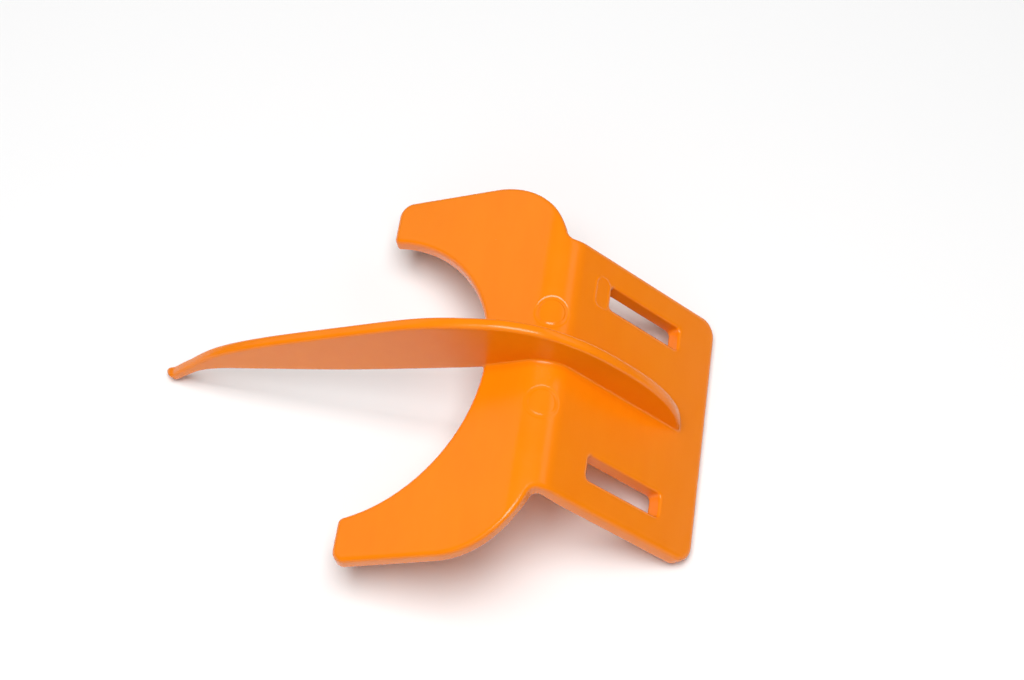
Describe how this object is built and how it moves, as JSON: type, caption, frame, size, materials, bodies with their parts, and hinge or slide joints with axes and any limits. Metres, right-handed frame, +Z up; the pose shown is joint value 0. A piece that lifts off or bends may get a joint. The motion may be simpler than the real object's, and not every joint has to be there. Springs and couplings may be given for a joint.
{
  "type": "citrus juicer peel ejector",
  "caption": "One-piece plastic peel ejector for a citrus juicing machine: a slotted mounting plate bent into a curved fork, with a thin upright blade running out between the prongs.",
  "frame": {"origin": "middle of the footprint on the surface that the part stands on, under its bounding box", "axes": "+Z up as the part stands on the mounting plate's far edge and the blade's tip; +X from the blade's tip towards the mounting plate; +Y across the part, which is mirror symmetric about Y = 0, so that the left prong and slot are on +Y"},
  "size_m": [0.1314, 0.0966, 0.0472],
  "materials": {
    "orange_plastic": "satin moulded food-grade plastic"
  },
  "bodies": {
    "root": {"mounting_plate": "orange_plastic", "bend": "orange_plastic", "fork_web": "orange_plastic", "prong_left": "orange_plastic", "prong_right": "orange_plastic", "blade_root": "orange_plastic", "blade_tongue": "orange_plastic", "blade_tip": "orange_plastic"}
  },
  "joints": []
}
